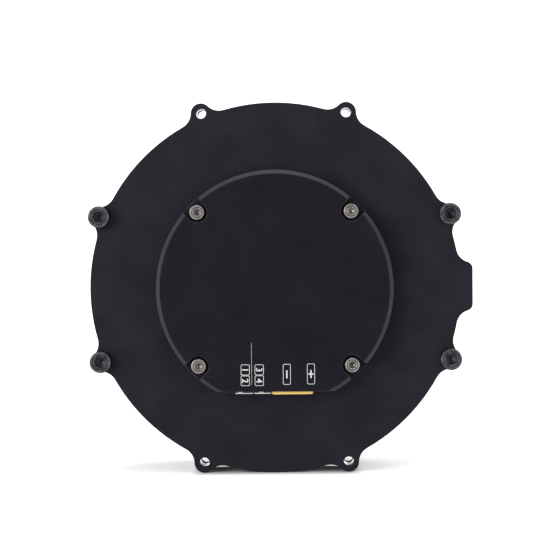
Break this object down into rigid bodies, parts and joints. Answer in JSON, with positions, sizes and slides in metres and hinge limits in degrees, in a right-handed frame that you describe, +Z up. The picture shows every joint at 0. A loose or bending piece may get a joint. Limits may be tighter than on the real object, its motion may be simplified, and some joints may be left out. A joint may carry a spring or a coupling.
{
  "type": "robot joint actuator",
  "caption": "Round geared motor unit for a robot joint, with a driven flange in front, lugs round the rear plate and a round electronics cap with sockets at its flat.",
  "frame": {"origin": "centre of the output flange's front face, on the motor axis", "axes": "+Y along the motor axis, out of the output face; +Z up, away from the sockets; +X towards the wire tab"},
  "size_m": [0.0994, 0.0401, 0.096],
  "materials": {
    "housing_black": "black anodised, satin",
    "cap_black": "black anodised, satin, with a bright machined chamfer",
    "circuit_board": "green solder mask",
    "black_screw": "black oxide",
    "steel_screw": "stainless",
    "yellow_nylon": "moulded yellow nylon",
    "white_nylon": "moulded white nylon",
    "gold_contact": "gold plated",
    "chip_black": "epoxy moulding compound",
    "capacitor_can": "bright can",
    "lamination_steel": "stacked laminations",
    "enamelled_copper": "enamelled wire",
    "lead_sleeve": "silicone sleeve",
    "gear_steel": "ground",
    "bearing_steel": "polished",
    "output_aluminium": "clear anodised",
    "rotor_aluminium": "machined",
    "flux_steel": "blackened",
    "magnet_nickel": "nickel plated",
    "bush_bronze": "sintered bronze"
  },
  "bodies": {
    "housing": {"rear_housing": "housing_black", "front_housing": "housing_black", "controller_cap": "cap_black", "driver_board": "circuit_board", "housing_screws": "black_screw", "cap_screws": "steel_screw", "power_connector": "yellow_nylon", "signal_connectors": "white_nylon", "power_pins": "gold_contact", "signal_pins": "gold_contact", "power_transistors": "chip_black", "capacitors": "capacitor_can", "control_chip": "chip_black", "encoder_chips": "chip_black", "stator_core": "lamination_steel", "windings": "enamelled_copper", "phase_leads": "lead_sleeve", "bearing_retainer": "housing_black", "retainer_screws": "black_screw", "ring_gear": "gear_steel", "output_bearing_outer": "bearing_steel", "rotor_bearing_outer": "bearing_steel"},
    "output": {"output_carrier": "output_aluminium", "carrier_plate": "output_aluminium", "carrier_screws": "black_screw", "planet_pins": "bearing_steel", "output_bearing_inner": "bearing_steel", "sun_bearing_outer": "bearing_steel", "encoder_rod": "bearing_steel", "output_encoder_magnet": "magnet_nickel"},
    "rotor": {"rotor_hub": "rotor_aluminium", "flux_ring": "flux_steel", "magnets": "magnet_nickel", "sun_shaft": "gear_steel", "rotor_bearing_inner": "bearing_steel", "sun_bearing_inner": "bearing_steel", "motor_encoder_magnet": "magnet_nickel"},
    "planet_1": {"planet_gear_1": "gear_steel", "planet_bush_1": "bush_bronze"},
    "planet_2": {"planet_gear_2": "gear_steel", "planet_bush_2": "bush_bronze"},
    "planet_3": {"planet_gear_3": "gear_steel", "planet_bush_3": "bush_bronze"}
  },
  "joints": [
    {"name": "rotor_spin", "type": "hinge", "parent": "housing", "child": "rotor", "pos_m": [0, 0, 0], "axis": [0, 1, 0], "continuous": true},
    {"name": "output_spin", "type": "hinge", "parent": "housing", "child": "output", "pos_m": [0, 0, 0], "axis": [0, 1, 0], "continuous": true},
    {"name": "planet_1_spin", "type": "hinge", "parent": "output", "child": "planet_1", "pos_m": [0.012, -0.0149, 0], "axis": [0, 1, 0], "continuous": true},
    {"name": "planet_2_spin", "type": "hinge", "parent": "output", "child": "planet_2", "pos_m": [-0.006, -0.0149, 0.01039], "axis": [0, 1, 0], "continuous": true},
    {"name": "planet_3_spin", "type": "hinge", "parent": "output", "child": "planet_3", "pos_m": [-0.006, -0.0149, -0.01039], "axis": [0, 1, 0], "continuous": true}
  ],
  "couplings": [
    {"joint": "output_spin", "follows": "rotor_spin", "ratio": 0.125},
    {"joint": "planet_1_spin", "follows": "rotor_spin", "ratio": -0.29167},
    {"joint": "planet_2_spin", "follows": "rotor_spin", "ratio": -0.29167},
    {"joint": "planet_3_spin", "follows": "rotor_spin", "ratio": -0.29167}
  ]
}
